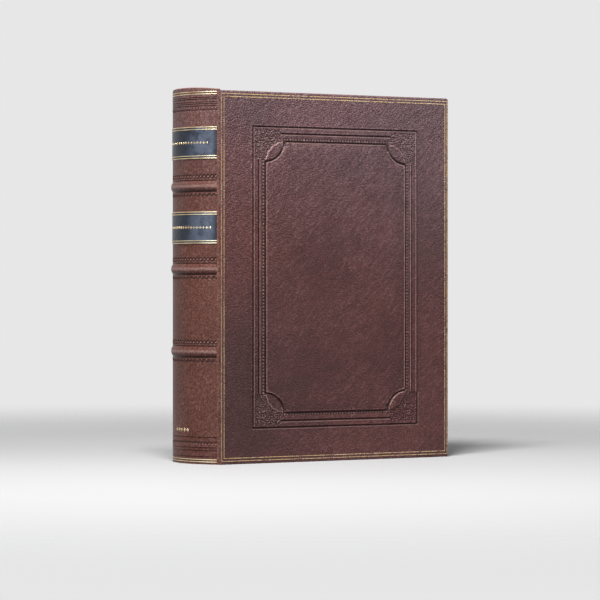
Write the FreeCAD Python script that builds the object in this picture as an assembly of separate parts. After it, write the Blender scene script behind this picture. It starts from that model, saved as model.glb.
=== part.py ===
import FreeCAD, Part
import math
import os

from FreeCAD import Vector

# Antique leather book, closed, standing on its tail. All sizes are in millimetres.
# X runs from the spine to the fore-edge, the front cover faces -Y and Z runs from tail to head.
# The outline is drawn with X = 0 on the chord of the rounded spine, and centred at the end.

# Covers
cover_height = 229.2
cover_length = 170.4          # from the chord of the spine to the fore-edge
total_thickness = 57.4        # over both covers
board_thickness = 2.6
leather_thickness = 0.7
endpaper_thickness = 0.25
cover_setback = 1.2           # from the chord of the spine to the near edge of a board
joint_lip = 0.9               # how far the leather runs on past the board, over the joint
cover_edge_radius = 0.9
cover_corner_radius = 1.6
turn_in_width = 9.0           # leather that shows inside the cover, round the pastedown
hinge_setback = 0.4           # from the chord of the spine to the line that a cover turns on

# Spine
cap_rise = 0.8                # how far the head of the spine stands above the covers
spine_chord = 54.8            # over the leather, from joint to joint
spine_half_angle = 42.0       # half of the arc that the rounded spine takes, in degrees
lining_thickness = 0.4
cap_depth = 2.4               # how far the leather turns in over the head and the tail
cap_margin_angle = 5.0        # from the end of a turned-in cap to the joint, in degrees
cap_radius = 0.6              # rounding of the leather where it turns in

# Raised bands over the sewing cords
band_names = ("upper", "middle", "lower")
upper_band_drop = 59.4        # from the head of the spine to the middle of the upper band
band_spacing = 50.8
band_rise = 1.0
band_crown_radius = 4.5
band_foot_radius = 1.0
cord_facets = 3               # flats that a hammered cord has across its crown

# Pages
square_width = 3.2            # how far the covers stand out past the pages
cover_clearance = 0.3         # between a pastedown and the flyleaf it closes on
shoulder_drop = 1.3           # along X, from the tip of the shoulder to the flat of the pages
shoulder_bend = 0.2           # how near the shoulder's bend lies to its hollow corner, as a share
end_band_radius = 1.2
end_band_facets = 6           # flats round a sewn end band

# Labels and gold lines
label_thickness = 0.3
label_margin_angle = 1.8      # bare leather between a label and the joint, in degrees
label_height = 20.0
label_rise = 16.6             # from the middle of the upper band to the foot of the label above it
gilt_thickness = 0.1
gilt_line_width = 0.45
gilt_line_pitch = 1.4         # from one line of a pair on the spine to the next
label_gilt_inset = 1.2        # from the edge of a label to the middle of its pair
end_gilt_inset = 2.3          # from the head or the tail of the spine to the middle of its pair
border_line_pitch = 1.75      # from the outer line round a cover to the inner one
border_inset_joint = 0.5      # from the edges of the leather to the middle of the outer line
border_inset_fore = 1.1
border_inset_ends = 2.05

# Blind-tooled panel on each cover
panel_margin_spine = 22.6     # from the near edge of the leather to the outer groove
panel_margin_fore = 24.0
panel_margin_head = 21.2
panel_margin_tail = 21.4
panel_frame_width = 9.9
tool_groove_width = 0.7
tool_groove_depth = 0.28
middle_groove_inset = 4.2     # from the outer groove to the one inside it
corner_lobe_radius = 12.4

# Clearances
glue_line = 0.05
paste_clearance = 0.1

# Worked out from the sizes above
half_thickness = total_thickness / 2
spine_height = cover_height + cap_rise
board_outer_y = half_thickness - leather_thickness
board_inner_y = board_outer_y - board_thickness
paste_inner_y = board_inner_y - endpaper_thickness
flyleaf_outer_y = paste_inner_y - cover_clearance
page_half = flyleaf_outer_y - endpaper_thickness
cover_near_x = cover_setback - joint_lip
half_angle = math.radians(spine_half_angle)
spine_radius = spine_chord / 2 / math.sin(half_angle)
spine_axis_x = spine_radius * math.cos(half_angle)
lining_outer_radius = spine_radius - leather_thickness - glue_line
back_radius = lining_outer_radius - lining_thickness - glue_line
page_bottom = square_width
page_top = cover_height - square_width
page_fore_x = cover_length - square_width
spine_front_x = spine_axis_x - spine_radius - band_rise
crown_centre_radius = spine_radius + band_rise - band_crown_radius
cord_crown_radius = band_crown_radius - leather_thickness - glue_line
upper_band_z = spine_height - upper_band_drop
band_heights = [upper_band_z - index * band_spacing for index in range(len(band_names))]
upper_label_bottom = upper_band_z + label_rise
lower_label_bottom = upper_band_z - band_spacing / 2 - label_height / 2
trim_half_angle = spine_half_angle - label_margin_angle
centre_x = (spine_front_x + cover_length) / 2


def line(start, end):
    return Part.makeLine(start, end)


def arc(start, middle, end):
    return Part.Arc(start, middle, end).toShape()


def closed_face(edges):
    return Part.Face(Part.Wire(edges))


def polygon_face(points):
    return Part.Face(Part.makePolygon(points + points[:1]))


def spine_point(radius, z):
    """A point of a spine profile, at a radius from the axis of the rounded spine."""
    return Vector(spine_axis_x - radius, 0, z)


def swept_round_spine(profile, angle=spine_half_angle):
    """Turns a profile about the axis of the rounded spine, from joint to joint."""
    base = Vector(spine_axis_x, 0, 0)
    up = Vector(0, 0, 1)
    start = profile.copy()
    start.rotate(base, up, -angle)
    return start.revolve(base, up, 2 * angle)


def spine_ring(inner, outer, bottom, top, angle=spine_half_angle):
    corners = [(inner, bottom), (outer, bottom), (outer, top), (inner, top)]
    return swept_round_spine(polygon_face([spine_point(r, z) for r, z in corners]), angle)


def band_edges(z):
    """The outside of one raised band. Its crown arc meets two hollow foot arcs smoothly."""
    reach = band_crown_radius + band_foot_radius
    across = reach - band_rise
    along = math.sqrt(reach ** 2 - across ** 2)
    meet_angle = math.atan2(along, across)
    foot_radius = spine_radius + band_foot_radius
    meet_radius = crown_centre_radius + band_crown_radius * math.cos(meet_angle)
    bend_radius = foot_radius - band_foot_radius * math.cos(meet_angle / 2)
    sides = []
    for side in (-1, 1):
        foot_z = z + side * along
        foot = spine_point(spine_radius, foot_z)
        bend = spine_point(bend_radius, foot_z - side * band_foot_radius * math.sin(meet_angle / 2))
        meet = spine_point(meet_radius, z + side * band_crown_radius * math.sin(meet_angle))
        sides.append((foot, bend, meet))
    lower, upper = sides
    crown = spine_point(crown_centre_radius + band_crown_radius, z)
    return [arc(*lower), arc(lower[2], crown, upper[2]), arc(upper[2], upper[1], upper[0])]


def cord_points(z, radius, seat):
    """Points over a flattened cord, from its lower seat to its upper one."""
    end_angle = math.acos((seat - crown_centre_radius) / radius)
    points = []
    for step in range(cord_facets + 1):
        angle = end_angle * (2 * step / cord_facets - 1)
        reach = crown_centre_radius + radius * math.cos(angle)
        points.append(spine_point(reach, z + radius * math.sin(angle)))
    return points


def outer_side(bottom, top):
    """Edges up the outside of the leather, over each raised band in turn."""
    edges = []
    at = spine_point(spine_radius, bottom)
    for z in sorted(band_heights):
        band = band_edges(z)
        edges.append(line(at, band[0].Vertexes[0].Point))
        edges += band
        at = band[-1].Vertexes[-1].Point
    edges.append(line(at, spine_point(spine_radius, top)))
    return edges


def inner_side(bottom, top):
    """Edges up the inside of the leather, with a hollow for each cord."""
    wall = spine_radius - leather_thickness
    points = [spine_point(wall, bottom)]
    for z in sorted(band_heights):
        points += cord_points(z, cord_crown_radius + glue_line, wall)
    points.append(spine_point(wall, top))
    return [line(low, high) for low, high in zip(points, points[1:])]


def page_block():
    """Sheets with a round back, shoulders that hold the boards and a hollow fore-edge."""
    tip_angle = half_angle
    tip_x = spine_axis_x - back_radius * math.cos(tip_angle)
    tip_y = back_radius * math.sin(tip_angle)
    flat_x = tip_x + shoulder_drop
    bend_x = tip_x + shoulder_drop * shoulder_bend
    bend_y = page_half + (tip_y - page_half) * shoulder_bend
    hollow = back_radius - math.sqrt(back_radius ** 2 - page_half ** 2)
    edges = [
        arc(Vector(tip_x, -tip_y, 0), Vector(spine_axis_x - back_radius, 0, 0), Vector(tip_x, tip_y, 0)),
        arc(Vector(tip_x, tip_y, 0), Vector(bend_x, bend_y, 0), Vector(flat_x, page_half, 0)),
        line(Vector(flat_x, page_half, 0), Vector(page_fore_x, page_half, 0)),
        arc(
            Vector(page_fore_x, page_half, 0),
            Vector(page_fore_x - hollow, 0, 0),
            Vector(page_fore_x, -page_half, 0),
        ),
        line(Vector(page_fore_x, -page_half, 0), Vector(flat_x, -page_half, 0)),
        arc(Vector(flat_x, -page_half, 0), Vector(bend_x, -bend_y, 0), Vector(tip_x, -tip_y, 0)),
    ]
    block = closed_face(edges).extrude(Vector(0, 0, page_top - page_bottom))
    block.translate(Vector(0, 0, page_bottom))
    return block


def flyleaf():
    start_x = spine_axis_x - back_radius * math.cos(half_angle) + shoulder_drop
    sheet = Part.makeBox(page_fore_x - start_x, endpaper_thickness, page_top - page_bottom)
    sheet.translate(Vector(start_x, -flyleaf_outer_y, page_bottom))
    return sheet


def spine_lining():
    return spine_ring(back_radius + glue_line, lining_outer_radius, page_bottom, page_top)


def sewing_cord(z):
    """A cord that lies along the rounded back, flat where it is sewn down."""
    seat = lining_outer_radius + glue_line / 2
    return swept_round_spine(polygon_face(cord_points(z, cord_crown_radius, seat)), trim_half_angle)


def end_band(z):
    """A sewn roll along the back edge of the pages, with a flat for each of its sides."""
    corners = []
    for step in range(end_band_facets):
        angle = 2 * math.pi * (step + 0.5) / end_band_facets
        radius = back_radius - end_band_radius + end_band_radius * math.cos(angle)
        corners.append(spine_point(radius, z + end_band_radius * math.sin(angle)))
    return swept_round_spine(polygon_face(corners), trim_half_angle)


def end_cap(bottom):
    """Leather turned in over one end of the back. It stops short of the joints."""
    inner = spine_radius - cap_depth
    outer = spine_radius - leather_thickness / 2
    return spine_ring(inner, outer, bottom, bottom + leather_thickness, spine_half_angle - cap_margin_angle)


def spine_leather():
    """Leather over the back, raised over the cords and turned in at the head and the tail."""
    wall = spine_radius - leather_thickness
    rim = spine_radius - cap_radius
    bow = cap_radius * (1 - math.cos(math.pi / 4))
    tail_corner = arc(
        spine_point(rim, 0),
        spine_point(spine_radius - bow, bow),
        spine_point(spine_radius, cap_radius),
    )
    head_corner = arc(
        spine_point(spine_radius, spine_height - cap_radius),
        spine_point(spine_radius - bow, spine_height - bow),
        spine_point(rim, spine_height),
    )
    edges = [line(spine_point(wall, 0), spine_point(rim, 0)), tail_corner]
    edges += outer_side(cap_radius, spine_height - cap_radius)
    edges += [head_corner, line(spine_point(rim, spine_height), spine_point(wall, spine_height))]
    edges += inner_side(0, spine_height)
    profile = Part.Face(Part.Wire(Part.__sortEdges__(edges)))
    caps = [end_cap(0), end_cap(spine_height - leather_thickness)]
    return swept_round_spine(profile).fuse(caps).removeSplitter()


def title_label(bottom):
    seat = spine_radius + glue_line / 2
    return spine_ring(seat, seat + label_thickness, bottom, bottom + label_height, trim_half_angle)


def gilt_pair(z, seat):
    """Two gold lines round the spine, the same distance either side of z."""
    lines = []
    for side in (-1, 1):
        bottom = z + side * gilt_line_pitch / 2 - gilt_line_width / 2
        top = bottom + gilt_line_width
        lines.append(spine_ring(seat, seat + gilt_thickness, bottom, top, trim_half_angle))
    return lines


def spine_fillet(z):
    return Part.makeCompound(gilt_pair(z, spine_radius + glue_line / 2))


def label_fillet(bottom):
    """Gold pairs along the upper and the lower edge of a label."""
    seat = spine_radius + label_thickness + glue_line
    low = gilt_pair(bottom + label_gilt_inset, seat)
    high = gilt_pair(bottom + label_height - label_gilt_inset, seat)
    return Part.makeCompound(low + high)


def board():
    length = cover_length - leather_thickness - cover_setback
    height = cover_height - 2 * leather_thickness
    plate = Part.makeBox(length, board_thickness, height)
    plate.translate(Vector(cover_setback, -board_outer_y, leather_thickness))
    return plate


def cover_blank():
    """The outside of a cover, rounded at its fore corners and along every edge but the one at the joint."""
    blank = Part.makeBox(cover_length - cover_near_x, half_thickness - paste_inner_y, cover_height)
    blank.translate(Vector(cover_near_x, -half_thickness, 0))
    corners = []
    for edge in blank.Edges:
        a, b = (v.Point for v in edge.Vertexes)
        if abs(a.y - b.y) > 1e-6 and abs(a.x - cover_length) < 1e-6:
            corners.append(edge)
    blank = blank.makeFillet(cover_corner_radius, corners)
    outer = []
    for edge in blank.Edges:
        box = edge.BoundBox
        if box.YLength < 1e-6 and box.XMax > cover_near_x + 1e-6:
            outer.append(edge)
    return blank.makeFillet(cover_edge_radius, outer)


def panel_outline(inset, lobe=0.0):
    """The panel's outline at an inset. A lobe bites a quarter circle off each of its corners."""
    x0 = cover_near_x + panel_margin_spine + inset
    x1 = cover_length - panel_margin_fore - inset
    z0 = panel_margin_tail + inset
    z1 = cover_height - panel_margin_head - inset
    corners = [(x0, z0, 1, 1), (x1, z0, -1, 1), (x1, z1, -1, -1), (x0, z1, 1, -1)]
    if not lobe:
        return Part.makePolygon([Vector(x, 0, z) for x, z, _, _ in corners + corners[:1]])
    edges = []
    bow = lobe * math.cos(math.pi / 4)
    stops = []
    for index, (x, z, dx, dz) in enumerate(corners):
        along_x = Vector(x + dx * lobe, 0, z)
        along_z = Vector(x, 0, z + dz * lobe)
        first, last = (along_z, along_x) if index % 2 == 0 else (along_x, along_z)
        edges.append(arc(first, Vector(x + dx * bow, 0, z + dz * bow), last))
        stops.append((first, last))
    for index in range(4):
        edges.append(line(stops[index][1], stops[(index + 1) % 4][0]))
    return Part.Wire(Part.__sortEdges__(edges))


def tool_groove(inset, lobe=0.0):
    """A groove of even width that follows the panel's outline, ready to be cut."""
    outer = Part.Face(panel_outline(inset, lobe))
    inner = Part.Face(panel_outline(inset + tool_groove_width, lobe))
    groove = outer.cut(inner).extrude(Vector(0, tool_groove_depth, 0))
    groove.translate(Vector(0, -half_thickness, 0))
    return groove


def cover_leather():
    """Leather round three edges of the board, with the panel's grooves pressed into its face."""
    blank = cover_blank()
    inside = Part.makeBox(
        cover_length - leather_thickness - cover_setback,
        board_thickness,
        cover_height - 2 * leather_thickness,
    )
    inside.translate(Vector(cover_setback, -board_outer_y, leather_thickness))
    window = Part.makeBox(
        cover_length - turn_in_width - cover_setback,
        endpaper_thickness,
        cover_height - 2 * turn_in_width,
    )
    window.translate(Vector(cover_setback, -board_inner_y, turn_in_width))
    joint_room = Part.makeBox(joint_lip, half_thickness, cover_height)
    joint_room.translate(Vector(cover_near_x, -board_outer_y, 0))
    skin = blank.cut([inside, window, joint_room])
    grooves = [
        tool_groove(0),
        tool_groove(middle_groove_inset),
        tool_groove(panel_frame_width - tool_groove_width, corner_lobe_radius),
    ]
    return skin.cut(grooves)


def pastedown():
    length = cover_length - turn_in_width - cover_setback - 2 * paste_clearance
    height = cover_height - 2 * turn_in_width - 2 * paste_clearance
    sheet = Part.makeBox(length, endpaper_thickness, height)
    sheet.translate(Vector(cover_setback + paste_clearance, -board_inner_y, turn_in_width + paste_clearance))
    return sheet


def border_frame(inset):
    """One gold line round the face of a cover, this much inside the outer line's own place."""
    frame = None
    for grown, cutter in ((-gilt_line_width / 2, False), (gilt_line_width / 2, True)):
        x0 = cover_near_x + border_inset_joint + inset + grown
        x1 = cover_length - border_inset_fore - inset - grown
        z0 = border_inset_ends + inset + grown
        z1 = cover_height - border_inset_ends - inset - grown
        sheet = polygon_face([Vector(x, 0, z) for x, z in ((x0, z0), (x1, z0), (x1, z1), (x0, z1))])
        frame = frame.cut(sheet) if cutter else sheet
    bar = frame.extrude(Vector(0, -gilt_thickness, 0))
    bar.translate(Vector(0, -half_thickness, 0))
    return bar


def gilt_border():
    return Part.makeCompound([border_frame(0.0), border_frame(border_line_pitch)])


def back_of(shape):
    """The same piece on the back of the book."""
    return shape.mirror(Vector(0, 0, 0), Vector(0, 1, 0))


pieces = {
    "page_block": page_block(),
    "front_flyleaf": flyleaf(),
    "back_flyleaf": back_of(flyleaf()),
    "spine_lining": spine_lining(),
    "head_band": end_band(page_top + end_band_radius),
    "tail_band": end_band(page_bottom - end_band_radius),
    "spine_leather": spine_leather(),
    "upper_title_label": title_label(upper_label_bottom),
    "lower_title_label": title_label(lower_label_bottom),
    "head_gilt_fillet": spine_fillet(spine_height - end_gilt_inset),
    "tail_gilt_fillet": spine_fillet(end_gilt_inset),
    "upper_label_gilt_fillet": label_fillet(upper_label_bottom),
    "lower_label_gilt_fillet": label_fillet(lower_label_bottom),
}
for name, height in zip(band_names, band_heights):
    pieces[name + "_sewing_cord"] = sewing_cord(height)
cover_pieces = {
    "board": board(),
    "cover_leather": cover_leather(),
    "pastedown": pastedown(),
    "gilt_border": gilt_border(),
}
for name, shape in cover_pieces.items():
    pieces["front_" + name] = shape
    pieces["back_" + name] = back_of(shape)

os.makedirs("parts", exist_ok=True)
for name, shape in pieces.items():
    placed = shape.copy()
    placed.translate(Vector(-centre_x, 0, 0))
    placed.exportStep("parts/" + name + ".step")

print("hinge line x", round(hinge_setback - centre_x, 3), "y", half_thickness)
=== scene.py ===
# An antique book in brown morocco, closed and standing on its tail. The covers carry a blind-tooled
# panel and a gilt border, the spine three raised bands and two dark labels.
import math
import bmesh
import bpy
import numpy as np
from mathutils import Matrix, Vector


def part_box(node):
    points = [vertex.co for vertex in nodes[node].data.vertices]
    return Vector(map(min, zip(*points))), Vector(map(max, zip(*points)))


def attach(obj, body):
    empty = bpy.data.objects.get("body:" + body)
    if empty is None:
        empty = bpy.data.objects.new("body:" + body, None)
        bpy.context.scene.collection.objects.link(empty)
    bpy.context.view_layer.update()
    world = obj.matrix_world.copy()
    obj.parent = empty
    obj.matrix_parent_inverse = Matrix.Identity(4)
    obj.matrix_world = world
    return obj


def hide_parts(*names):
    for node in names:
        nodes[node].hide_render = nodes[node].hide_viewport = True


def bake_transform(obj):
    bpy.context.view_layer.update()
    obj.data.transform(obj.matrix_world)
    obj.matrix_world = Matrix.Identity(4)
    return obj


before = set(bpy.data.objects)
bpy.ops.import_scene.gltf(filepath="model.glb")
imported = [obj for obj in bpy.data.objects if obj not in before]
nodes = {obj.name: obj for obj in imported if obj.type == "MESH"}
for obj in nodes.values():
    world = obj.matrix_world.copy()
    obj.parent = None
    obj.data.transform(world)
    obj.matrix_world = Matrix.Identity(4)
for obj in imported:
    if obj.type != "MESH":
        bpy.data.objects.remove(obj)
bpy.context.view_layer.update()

mm = 0.001


def boxOf(name):
    # lowest and highest corner of a solid, in millimetres
    low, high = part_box(name)
    return np.array(low) / mm, np.array(high) / mm


def middleHeight(name):
    # halfway up a solid
    low, high = boxOf(name)
    return (low[2] + high[2]) / 2


# main sizes of the book in millimetres, which the solids share
book = {
    "chord": 54.8,           # of the spine's arc, over the leather
    "halfAngle": 42.0,       # half of that arc, in degrees
    "trim": 1.8,             # degrees of the arc that the labels and end bands leave bare at its ends
    "nearEdge": 0.3,         # from the chord to the near edge of a cover's leather
    "lip": 0.9,              # of leather that runs on past the board, over the joint
    "leather": 0.7,
    "lining": 0.4, "glue": 0.05,
    "bandRise": 1.0, "bandCrown": 4.5, "bandFoot": 1.0,
    "pageHalf": 24.6,        # half of the pages' thickness
    "shoulder": 1.3,         # from the tip of the pages' shoulder to their flat
    "endBand": 1.2,          # radius of the silk roll
}
coverLow, coverHigh = boxOf("front_cover_leather")
pageLow, pageHigh = boxOf("page_block")
chordX = coverLow[0] - book["nearEdge"]
outerY = -coverLow[1]                       # the covers' outer faces lie at minus and plus this
coverLength = coverHigh[0] - coverLow[0]
coverHeight = coverHigh[2]
spineHeight = boxOf("spine_leather")[1][2]
halfAngle = math.radians(book["halfAngle"])
trimAngle = halfAngle - math.radians(book["trim"])
spineRadius = book["chord"] / 2 / math.sin(halfAngle)
backRadius = spineRadius - book["leather"] - book["lining"] - 2 * book["glue"]      # of the pages' round back
axisX = chordX + spineRadius * math.cos(halfAngle)
bandHeights = [middleHeight(level + "_sewing_cord") for level in ("lower", "middle", "upper")]
print("sizes read")


def smoothStep(low, high, x):
    # 0 up to the low value, 1 from the high one, and three t squared less two t cubed between them
    t = np.clip((x - low) / (high - low), 0, 1)
    return t * t * (3 - 2 * t)


def hump(t, half):
    # a parabola, 1 in the middle and 0 from the half width on
    return np.clip(1 - (t / half) ** 2, 0, 1)


def bell(t, width):
    # e to the power of minus the square, so it fades smoothly to both sides
    return np.exp(-((t / width) ** 2))


def gridFaces(rows, columns, wrap=False):
    # the four corners of each cell of a grid, numbered row by row. When wrapped, a row closes on itself
    r, c = np.meshgrid(np.arange(rows - 1), np.arange(columns - (not wrap)), indexing="ij")
    start, beside = r * columns + c, r * columns + (c + 1) % columns
    return np.stack([start, start + columns, beside + columns, beside], -1).reshape(-1, 4).tolist()


def tubeFaces(rows, columns):
    # closed rings joined one to the next, with a face across the first and the last
    last = (rows - 1) * columns
    return gridFaces(rows, columns, wrap=True) + [list(range(columns)), list(range(last, last + columns))]


def buildMesh(name, surfaces, material, merge=0.002, sharp=None):
    # joins surfaces, each (points, faces, marks), into one object. Doubles go, then the faces turn outwards.
    # A mark is a number at each point, which the materials read
    points, faces, marks, start = [], [], {}, 0
    names = sorted({key for _, _, own in surfaces for key in own})
    for grid, own, values in surfaces:
        grid = np.asarray(grid, float)
        points.append(grid.reshape(-1, 3))
        faces += [[i + start for i in face] for face in own]
        for key in names:
            value = np.broadcast_to(values.get(key, 0.0), grid.shape[:-1])
            marks.setdefault(key, []).append(value.reshape(-1))
        start += len(points[-1])
    mesh = bpy.data.meshes.new(name)
    mesh.from_pydata(np.concatenate(points) * mm, [], faces)
    for key in names:
        layer = mesh.attributes.new(key, "FLOAT", "POINT")
        layer.data.foreach_set("value", np.concatenate(marks[key]).astype(np.float32))
    work = bmesh.new()
    work.from_mesh(mesh)
    bmesh.ops.remove_doubles(work, verts=work.verts, dist=merge * mm)
    bmesh.ops.dissolve_degenerate(work, edges=work.edges, dist=merge * mm / 5)
    bmesh.ops.recalc_face_normals(work, faces=work.faces)
    work.to_mesh(mesh)
    work.free()
    mesh.shade_smooth()
    if sharp:
        mesh.set_sharp_from_angle(angle=math.radians(sharp))
    mesh.materials.append(material)
    piece = bpy.data.objects.new(name, mesh)
    bpy.context.scene.collection.objects.link(piece)
    return piece


def mirrorSide(points, side):
    # the front is at minus y, the back is its mirror image
    out = np.array(points, float)
    out[..., 1] *= side
    return out


class Link:
    # one socket of a shader. Sums, products and the like of links and numbers add their Math nodes
    def __init__(self, shader, socket):
        self.shader = shader
        self.socket = socket

    def maths(self, operation, *values):
        return self.shader.node("ShaderNodeMath", {"operation": operation}, dict(enumerate(values)))

    def __add__(self, other):
        return self.maths("ADD", self, other)

    def __sub__(self, other):
        return self.maths("SUBTRACT", self, other)

    def __rsub__(self, other):
        return self.maths("SUBTRACT", other, self)

    def __mul__(self, other):
        return self.maths("MULTIPLY", self, other)

    def limited(self):
        # held between 0 and 1
        return self.maths("MINIMUM", self.maths("MAXIMUM", self, 0.0), 1.0)

    __radd__ = __add__
    __rmul__ = __mul__


class Shader:
    # the nodes of a material or of the world, all of them made by one method
    def __init__(self, owner):
        self.owner = owner
        owner.use_nodes = True
        self.tree = owner.node_tree
        self.tree.nodes.clear()

    def node(self, kind, settings=None, values=None, output=0):
        # settings are made first, because they can change the sockets that the values and links go to
        made = self.tree.nodes.new(kind)
        for key, value in (settings or {}).items():
            setattr(made, key, value)
        for key, value in (values or {}).items():
            if isinstance(value, Link):
                self.tree.links.new(value.socket, made.inputs[key])
            else:
                made.inputs[key].default_value = value
        return Link(self, made.outputs[output]) if made.outputs else made

    def place(self, scale=(1, 1, 1), turn=(0, 0, 0)):
        # where a point of the object is, turned and then stretched for a pattern
        where = self.node("ShaderNodeTexCoord", output="Object")
        values = {"Vector": where, "Rotation": turn, "Scale": [1 / each for each in scale]}
        return self.node("ShaderNodeMapping", {"vector_type": "TEXTURE"}, values)

    def along(self, axis):
        # metres along x, y or z, which are axes 0, 1 and 2
        return self.node("ShaderNodeSeparateXYZ", None, {"Vector": self.place()}, output=axis)

    def noise(self, size, detail=2.0, rough=0.5, scale=(1, 1, 1), turn=(0, 0, 0)):
        # soft noise, with spots of about this size in metres
        values = {"Vector": self.place(scale, turn), "Scale": 1 / size, "Detail": detail, "Roughness": rough}
        return self.node("ShaderNodeTexNoise", None, values)

    def cells(self, size):
        # distance from the middle of small cells, as leather grain has
        values = {"Vector": self.place(), "Scale": 1 / size}
        return self.node("ShaderNodeTexVoronoi", {"feature": "F1"}, values)

    def mark(self, name):
        # the number that a mesh carries at each point under this name
        return self.node("ShaderNodeAttribute", {"attribute_name": name}, output="Fac")

    def spread(self, value, low, high):
        # 0 at the low value and 1 at the high one
        values = {"Value": value, "From Min": low, "From Max": high}
        return self.node("ShaderNodeMapRange", {"interpolation_type": "SMOOTHSTEP"}, values)

    def blend(self, factor, first, second):
        # the first colour at 0 and the second at 1
        settings = {"data_type": "RGBA", "blend_type": "MIX"}
        return self.node("ShaderNodeMix", settings, {0: factor, 6: first, 7: second}, output=2)

    def raised(self, height, distance, strength=1.0):
        # a normal bent by a height from 0 to 1, which stands for this many metres
        values = {"Height": height, "Distance": distance, "Strength": strength}
        return self.node("ShaderNodeBump", None, values)

    def finish(self, values):
        # one Principled surface with these values and links
        surface = self.node("ShaderNodeBsdfPrincipled", None, values)
        self.node("ShaderNodeOutputMaterial", None, {"Surface": surface})
        return self.owner


def newShader(name):
    return Shader(bpy.data.materials.new(name))


def colour(shade):
    # from a colour as it looks on screen, three numbers up to 255, to the light that it stands for
    share = [part / 255 for part in shade]
    return (*[part / 12.92 if part <= 0.04045 else ((part + 0.055) / 1.055) ** 2.4 for part in share], 1.0)


leatherLook = {
    "cover": {
        "dark": (57, 24, 24), "light": (98, 53, 51), "shine": 0.30,
        "relief": 0.00042,        # metres from the foot of the grain to its top
        "paintedUpperSheen": 0.145,           # painted sheen, lighter towards the head and the fore-edge
        "paintedLowShade": 0.50,           # painted shade, low down beside the joint
    },
    "spine": {
        "dark": (70, 36, 28), "light": (106, 66, 55), "shine": 0.14,
        # the spine gets a painted sheen towards the head as well
        "relief": 0.00015, "paintedUpperSheen": 0.12, "paintedLowShade": 0.0,
    },
    # the grey of the painted sheen
    "sheenGrey": (160, 150, 162),
    "blind": (22, 10, 10),        # in the tooled lines
    "rubbedAndLit": (162, 130, 124),    # where hands and shelves have worn it, and the painted highlights of the tooling and the stamps
    "bloom": (120, 90, 92),       # the dull grey that sits in the grain
    "deep": 0.55,                 # brightness of the hollows and of the painted shade, as a share of the dark colour's
    "pebble": 0.0010, "crumple": 0.0011, "pore": 0.00035, "cloud": 0.045,     # metres across
    "streak": 0.0018, "streakTurn": 0.80, "cross": 0.0014, "crossTurn": -0.70,
    "toneFrom": (0.37, 0.64),     # levels of the noise that are the dark and the light colour
    "bloomFrom": (0.50, 0.66), "bloomCloud": (0.30, 0.60), "bloomMost": 0.55,
    "upperSheenFrom": (0.10, 0.26), "upperSheenTilt": 0.35,             # metres up, and a share of those along
    "lowShadeUp": (0.05, 0.14), "lowShadeFoot": (-0.01, 0.03), "lowShadeAlong": (-0.068, 0.008),     # metres
    "rubbedAndLitFrom": (0.62, 1.15), "rubbedAndLitMost": 0.7, "blindMost": 0.95,
    "gloss": 0.34,
}


def makeLeather(name, look):
    # pebbled goatskin. The tone is a weighted sum of clouds, slanting streaks and crumples, with a painted
    # sheen towards the head and painted shade low beside the joint. The pebbles rise towards the middles of
    # cells, and the marks say where the leather is tooled, where it is rubbed and where it carries painted
    # highlights
    s = newShader(name)
    tooling, wear = s.mark("tooling"), s.mark("wear")
    x, z = s.along(0), s.along(2)
    cloud = s.noise(leatherLook["cloud"], 3, 0.55)
    slant = s.noise(leatherLook["streak"], 4, 0.72, (1, 1, 0.24), (0, leatherLook["streakTurn"], 0))
    cross = s.noise(leatherLook["cross"], 3, 0.7, (1, 1, 0.4), (0, leatherLook["crossTurn"], 0))
    streak = slant * 0.7 + cross * 0.3
    pebble = s.cells(leatherLook["pebble"])
    crumple = s.noise(leatherLook["crumple"], 3, 0.65)
    pore = s.noise(leatherLook["pore"], 2, 0.5)
    deep = colour([part * leatherLook["deep"] for part in look["dark"]])
    tone = s.spread(cloud * 0.25 + streak * 0.40 + crumple * 0.35, *leatherLook["toneFrom"])
    base = s.blend(tone, colour(look["dark"]), colour(look["light"]))
    hollow = s.spread(pebble, 0.30, 0.80) * 0.45 + s.spread(pore, 0.4, 0.7) * 0.15
    base = s.blend(hollow.limited(), base, deep)
    bloom = s.spread(streak * 0.6 + crumple * 0.4, *leatherLook["bloomFrom"])
    bloom = bloom * s.spread(cloud, *leatherLook["bloomCloud"])
    base = s.blend(bloom * leatherLook["bloomMost"], base, colour(leatherLook["bloom"]))
    # painted sheen: lighter in patches towards the head and the fore-edge
    patchy = s.spread(crumple * 0.5 + streak * 0.5, 0.38, 0.62) * 1.3 + 0.3
    paintedUpperSheen = s.spread(z + x * leatherLook["upperSheenTilt"], *leatherLook["upperSheenFrom"]) * patchy
    base = s.blend(paintedUpperSheen * look["paintedUpperSheen"], base, colour(leatherLook["sheenGrey"]))
    # painted shade: darker low down beside the joint, easing off at the very foot
    low = (1 - s.spread(z, *leatherLook["lowShadeUp"])) * s.spread(z, *leatherLook["lowShadeFoot"])
    paintedLowShade = (1 - s.spread(x, *leatherLook["lowShadeAlong"])) * low
    base = s.blend(paintedLowShade * look["paintedLowShade"], base, deep)
    # rubbed wear and painted highlights together, as the wear mark gives them
    rubbedAndLit = s.spread(wear + crumple * 0.45, *leatherLook["rubbedAndLitFrom"])
    base = s.blend(rubbedAndLit * leatherLook["rubbedAndLitMost"], base, colour(leatherLook["rubbedAndLit"]))
    base = s.blend((tooling * leatherLook["blindMost"]).limited(), base, colour(leatherLook["blind"]))
    rough = leatherLook["gloss"] + streak * 0.16 - tooling * 0.10 - rubbedAndLit * 0.06
    height = (1 - s.spread(pebble, 0.1, 0.8)) * 0.7 + crumple * 0.9 + pore * 0.25 + streak * 0.5
    return s.finish({
        "Base Color": base, "Roughness": rough, "Specular IOR Level": look["shine"],
        "Normal": s.raised(height * (1 - tooling * 0.6), look["relief"]),
    })


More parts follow.
